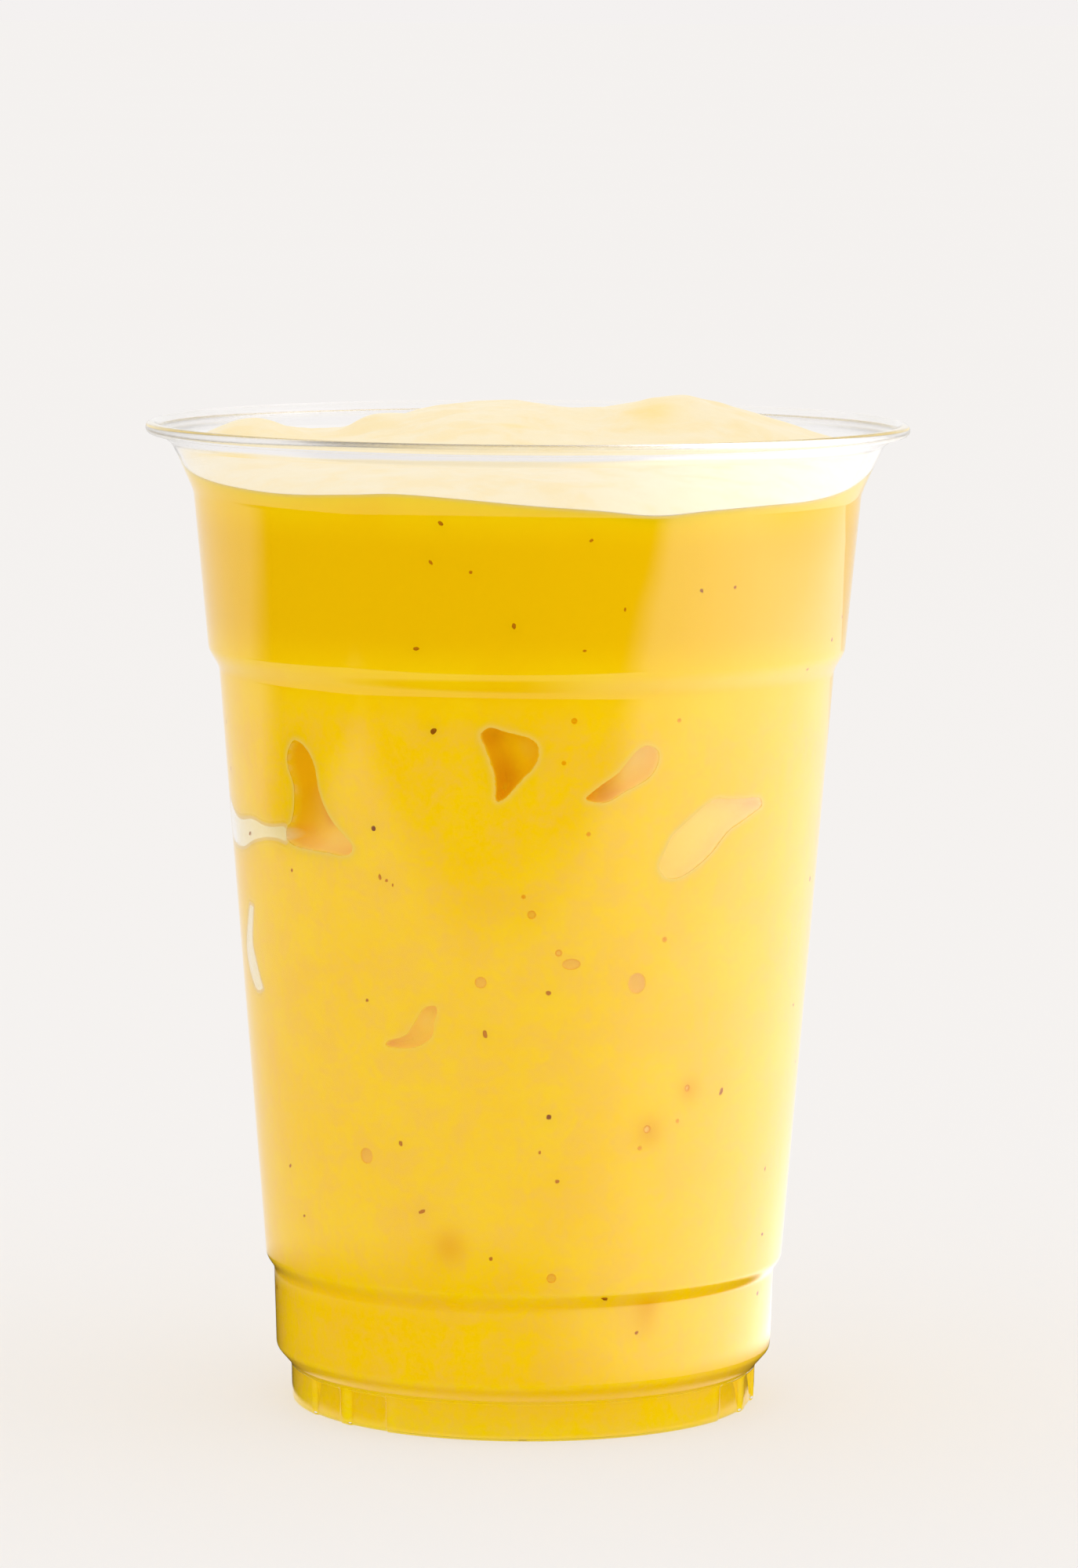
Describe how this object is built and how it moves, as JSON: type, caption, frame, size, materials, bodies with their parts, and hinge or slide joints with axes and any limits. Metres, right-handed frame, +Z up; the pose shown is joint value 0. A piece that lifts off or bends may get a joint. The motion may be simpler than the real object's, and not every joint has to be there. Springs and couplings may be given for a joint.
{
  "type": "mango smoothie in a clear plastic cup",
  "caption": "Thick mango smoothie heaped just above the rolled rim of a tapered clear cup with a stepped wall and a ribbed foot.",
  "frame": {"origin": "centre of the cup's foot, on the surface it stands on", "axes": "+Z up along the cup's axis, -Y towards the side that is shown, +X to the right of that side"},
  "size_m": [0.0948, 0.0948, 0.1256],
  "materials": {
    "cup": "clear, smooth and glossy",
    "smoothie": "opaque, thick and creamy, satin where it lies open"
  },
  "bodies": {
    "root": {"cup": "cup", "smoothie": "smoothie"}
  },
  "joints": []
}
